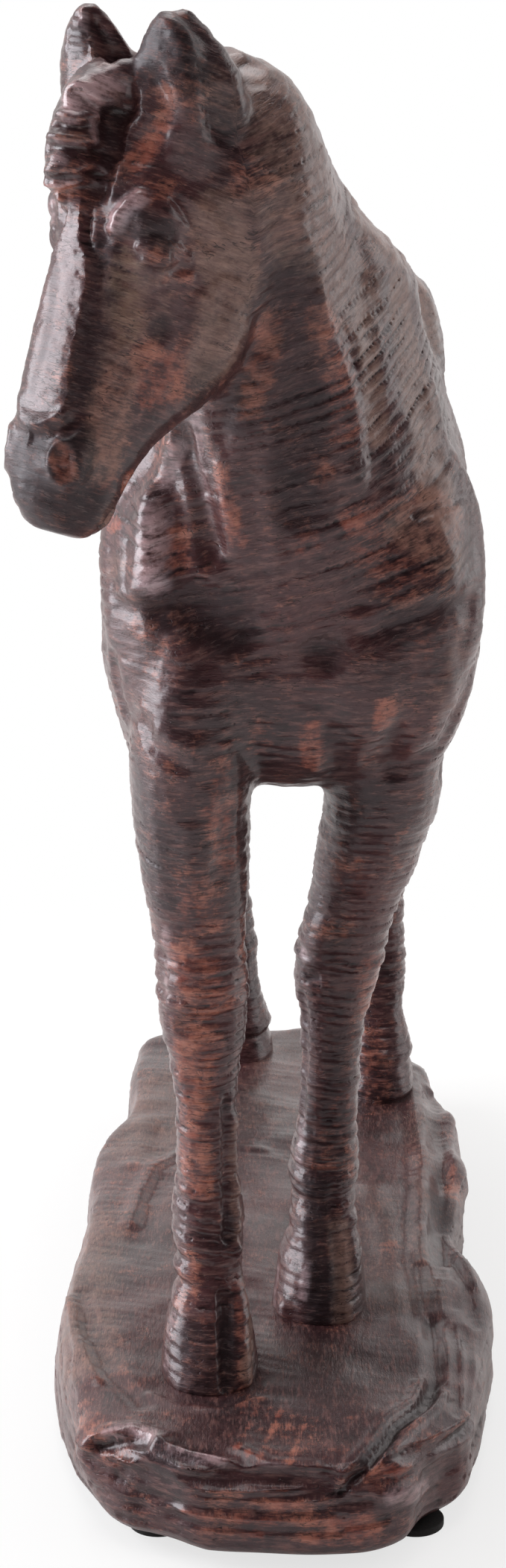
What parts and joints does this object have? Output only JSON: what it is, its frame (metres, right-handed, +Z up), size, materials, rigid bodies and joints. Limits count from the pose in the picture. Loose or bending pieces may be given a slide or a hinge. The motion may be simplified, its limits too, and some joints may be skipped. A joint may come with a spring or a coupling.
{
  "type": "horse statue",
  "caption": "Standing horse ornament in varnished cast resin with a wood-grain texture, head turned to its right, on a rough rock-shaped base with pads beneath.",
  "frame": {"origin": "middle of the overall footprint, on the plane of the pads' undersides", "axes": "+Z up, the horse faces -Y, +X to the horse's left"},
  "size_m": [0.1008, 0.2904, 0.2978],
  "materials": {
    "resin": "varnished satin gloss, dark brown with terracotta and grey dry-brushed ridges",
    "leg_wire": "plain drawn wire",
    "dowel": "raw beech",
    "pad": "matt foam rubber"
  },
  "bodies": {
    "root": {"base_casting": "resin", "torso_casting": "resin", "neck_and_head_casting": "resin", "tail_casting": "resin", "fore_leg_right_casting": "resin", "fore_leg_left_casting": "resin", "hind_leg_right_casting": "resin", "hind_leg_left_casting": "resin", "fore_leg_right_wire": "leg_wire", "fore_leg_left_wire": "leg_wire", "hind_leg_right_wire": "leg_wire", "hind_leg_left_wire": "leg_wire", "tail_pin": "leg_wire", "neck_dowel": "dowel", "foot_pad_front_right": "pad", "foot_pad_front_left": "pad", "foot_pad_back_right": "pad", "foot_pad_back_left": "pad"}
  },
  "joints": []
}
